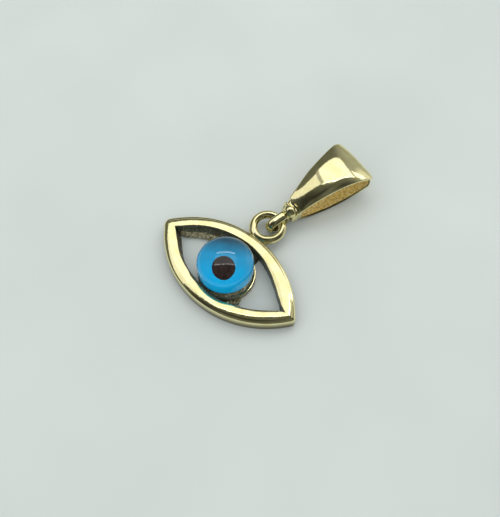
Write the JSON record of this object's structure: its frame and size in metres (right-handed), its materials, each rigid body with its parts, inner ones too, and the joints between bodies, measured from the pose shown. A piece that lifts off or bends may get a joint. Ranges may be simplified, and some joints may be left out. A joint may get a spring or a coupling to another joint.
{
  "type": "evil eye pendant",
  "caption": "Almond-shaped gold pendant with a domed blue glass eye in a bezel cup, a soldered ring and a tapered bail linked through it, lying flat.",
  "frame": {"origin": "on the closed back of the bezel cup, behind the middle of the almond frame", "axes": "+X along the eye from tip to tip, +Y from the eye towards the bail, +Z from the back out of the glass eye"},
  "size_m": [0.0152, 0.0204, 0.0041],
  "materials": {
    "gold": "polished yellow gold",
    "blue_glass": "glossy, nearly opaque",
    "black_glass": "glossy, opaque"
  },
  "bodies": {
    "root": {"eye_frame": "gold", "glass_eye": "blue_glass", "pupil": "black_glass", "bail": "gold"}
  },
  "joints": []
}
